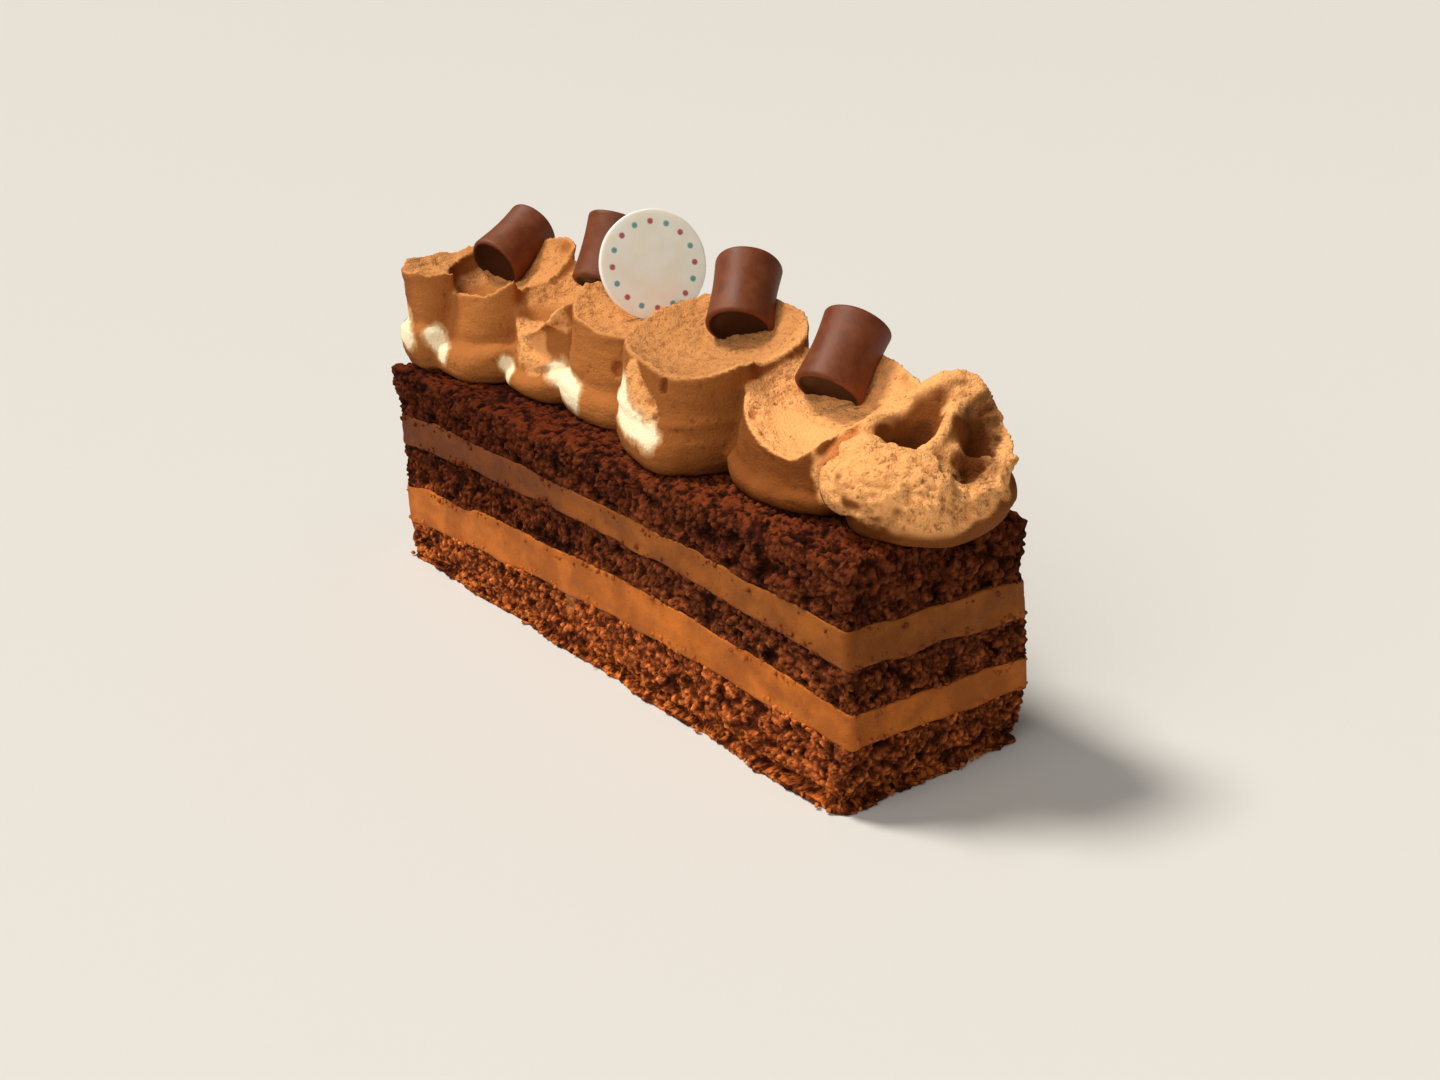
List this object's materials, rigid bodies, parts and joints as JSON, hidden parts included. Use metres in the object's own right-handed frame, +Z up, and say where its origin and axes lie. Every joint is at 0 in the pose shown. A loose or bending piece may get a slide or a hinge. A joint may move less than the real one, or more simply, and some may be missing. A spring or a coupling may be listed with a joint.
{
  "type": "chocolate cake bar",
  "caption": "Bar of chocolate layer cake with mousse fillings, a piped two-tone cream ruffle, small chocolates and a plain decorating disc.",
  "frame": {"origin": "middle of the flat underside, centred on the whole cake's length and width", "axes": "+X along the bar to the end where the ruffle has its tail, +Y across to the back, +Z up"},
  "size_m": [0.1608, 0.045, 0.0844],
  "materials": {
    "sponge": "open, dry crumb, dark reddish brown",
    "mousse": "smooth cut chocolate mousse with small pits, half matt",
    "whipped_cream": "matt whipped chocolate cream with ivory streaks at the foot",
    "milk_chocolate": "satin milk chocolate",
    "white_chocolate": "satin ivory decorating disc, bare but for a ring of small dots"
  },
  "bodies": {
    "root": {"sponge_bottom": "sponge", "mousse_lower": "mousse", "sponge_middle": "sponge", "mousse_upper": "mousse", "sponge_top": "sponge", "piped_cream": "whipped_cream", "chocolate_1": "milk_chocolate", "chocolate_2": "milk_chocolate", "chocolate_3": "milk_chocolate", "chocolate_4": "milk_chocolate", "topper_disc": "white_chocolate"}
  },
  "joints": []
}
